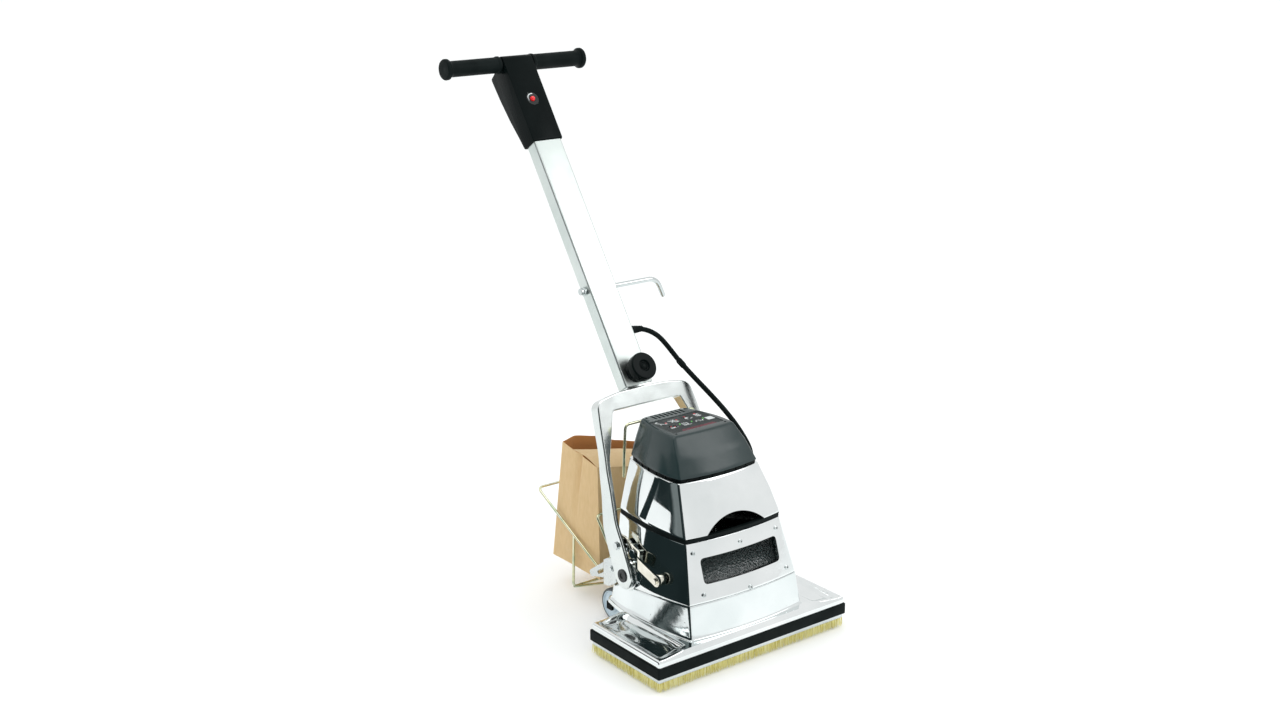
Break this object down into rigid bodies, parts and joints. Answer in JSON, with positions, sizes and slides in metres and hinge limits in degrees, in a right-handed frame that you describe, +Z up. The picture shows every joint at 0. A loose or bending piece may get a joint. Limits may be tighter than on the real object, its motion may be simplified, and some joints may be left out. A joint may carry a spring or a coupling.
{
  "type": "floor drum sander",
  "caption": "Upright floor drum sander with a brush-skirted cast base, windowed drum housing, motor cap, tilting yoke, tube handle with T-grip, foot pedal and a bag rack.",
  "frame": {"origin": "on the floor, at the middle of the machine's bounding box seen from above", "axes": "+Z up, -Y towards the front with the drum window, +X to the right seen from the front"},
  "size_m": [0.45, 0.7864, 1.0239],
  "materials": {
    "polished_alloy": "mirror polished casting",
    "satin_alloy": "satin",
    "black_rubber": "matt black",
    "black_plastic": "semi-gloss black",
    "slate_plastic": "dark slate, semi-gloss",
    "panel_film": "printed membrane",
    "chrome_steel": "bright",
    "pedal_steel": "bright plate",
    "black_steel": "blackened",
    "zinc_wire": "yellow zinc",
    "bristle": "stiff natural fibre",
    "abrasive": "coarse grit on cloth",
    "clear_pane": "clear",
    "kraft_paper": "brown kraft",
    "wheel_plastic": "pale blue grey",
    "red_lamp": "red lens"
  },
  "bodies": {
    "housing": {"base_casting": "polished_alloy", "edge_bumper": "black_rubber", "brush_holder": "satin_alloy", "brush_front": "bristle", "brush_rear": "bristle", "brush_left": "bristle", "brush_right": "bristle", "mid_casing": "polished_alloy", "pivot_boss_left": "polished_alloy", "pivot_boss_right": "polished_alloy", "window_pane": "clear_pane", "window_screw_1": "chrome_steel", "window_screw_2": "chrome_steel", "window_screw_3": "chrome_steel", "window_screw_4": "chrome_steel", "window_screw_5": "chrome_steel", "window_screw_6": "chrome_steel", "casing_seal": "black_rubber", "upper_cover": "polished_alloy", "cap_seat": "black_plastic", "motor_cap": "slate_plastic", "control_panel": "panel_film", "motor": "black_plastic", "bearing_left": "satin_alloy", "bearing_right": "satin_alloy", "wheel_axle": "black_plastic", "rack_bracket_left": "satin_alloy", "rack_bracket_right": "satin_alloy", "rack_frame": "zinc_wire", "bag_hanger": "zinc_wire", "pedal_pin": "chrome_steel", "drive_belt": "black_rubber", "pivot_bolt_left": "black_steel", "pivot_bolt_right": "black_steel", "cover_gland": "black_rubber", "cord_lower": "black_rubber"},
    "drum": {"drum_core": "satin_alloy", "abrasive_sleeve": "abrasive", "drum_pulley": "satin_alloy"},
    "rotor": {"motor_shaft": "chrome_steel", "motor_pulley": "satin_alloy", "fan_wheel": "black_plastic"},
    "left_wheel": {"wheel_left": "wheel_plastic"},
    "right_wheel": {"wheel_right": "wheel_plastic"},
    "yoke_frame": {"yoke": "satin_alloy", "catch_bolt": "chrome_steel"},
    "catch": {"catch_roller": "black_rubber"},
    "pedal": {"pedal_lever": "pedal_steel"},
    "pedal_tread": {"pedal_roller": "chrome_steel"},
    "handle": {"handle_tube": "satin_alloy", "switch_head": "black_plastic", "t_bar": "chrome_steel", "grip_left": "black_rubber", "grip_right": "black_rubber", "cord_gland": "black_rubber", "cord_upper": "black_rubber"},
    "hook": {"cable_hook": "chrome_steel"},
    "knob": {"clamp_knob": "black_plastic"},
    "button": {"start_button": "red_lamp"},
    "bag": {"dust_bag": "kraft_paper"}
  },
  "joints": [
    {"name": "yoke_tilt", "type": "hinge", "parent": "housing", "child": "yoke_frame", "pos_m": [0, -0.18565, 0.132], "axis": [1, 0, 0], "range_deg": [-20, 0]},
    {"name": "handle_slide", "type": "slide", "parent": "yoke_frame", "child": "handle", "axis": [0, 0.569, 0.8223], "range_m": [0, 0.06]},
    {"name": "knob_turn", "type": "hinge", "parent": "handle", "child": "knob", "pos_m": [0, -0.03275, 0.45936], "axis": [0, -0.8223, 0.569], "continuous": true},
    {"name": "hook_swivel", "type": "hinge", "parent": "handle", "child": "hook", "pos_m": [0, 0.08135, 0.5995], "axis": [1, 0, 0], "range_deg": [-90, 90]},
    {"name": "button_press", "type": "slide", "parent": "handle", "child": "button", "axis": [0, 0.8223, -0.569], "range_m": [0, 0.002], "stiffness_N_per_m": 300, "springref_m": -0.001},
    {"name": "pedal_press", "type": "hinge", "parent": "housing", "child": "pedal", "pos_m": [0, -0.20465, 0.18], "axis": [1, 0, 0], "range_deg": [0, 3.5], "stiffness_Nm_per_rad": 3, "springref_deg": -6.88},
    {"name": "pedal_roller_spin", "type": "hinge", "parent": "pedal", "child": "pedal_tread", "pos_m": [0, -0.28565, 0.157], "axis": [1, 0, 0], "continuous": true},
    {"name": "catch_roller_spin", "type": "hinge", "parent": "yoke_frame", "child": "catch", "pos_m": [0, -0.16868, 0.18592], "axis": [1, 0, 0], "continuous": true},
    {"name": "drum_spin", "type": "hinge", "parent": "housing", "child": "drum", "pos_m": [0, -0.27465, 0.097], "axis": [1, 0, 0], "continuous": true},
    {"name": "motor_spin", "type": "hinge", "parent": "housing", "child": "rotor", "pos_m": [0, -0.21465, 0.282], "axis": [1, 0, 0], "continuous": true},
    {"name": "wheel_left_spin", "type": "hinge", "parent": "housing", "child": "left_wheel", "pos_m": [-0.099, -0.10165, 0.032], "axis": [1, 0, 0], "continuous": true},
    {"name": "wheel_right_spin", "type": "hinge", "parent": "housing", "child": "right_wheel", "pos_m": [0.099, -0.10165, 0.032], "axis": [1, 0, 0], "continuous": true},
    {"name": "bag_lift", "type": "slide", "parent": "housing", "child": "bag", "axis": [0, 0, 1], "range_m": [0, 0.05]}
  ],
  "couplings": [
    {"joint": "motor_spin", "follows": "drum_spin", "ratio": 1.4167}
  ]
}
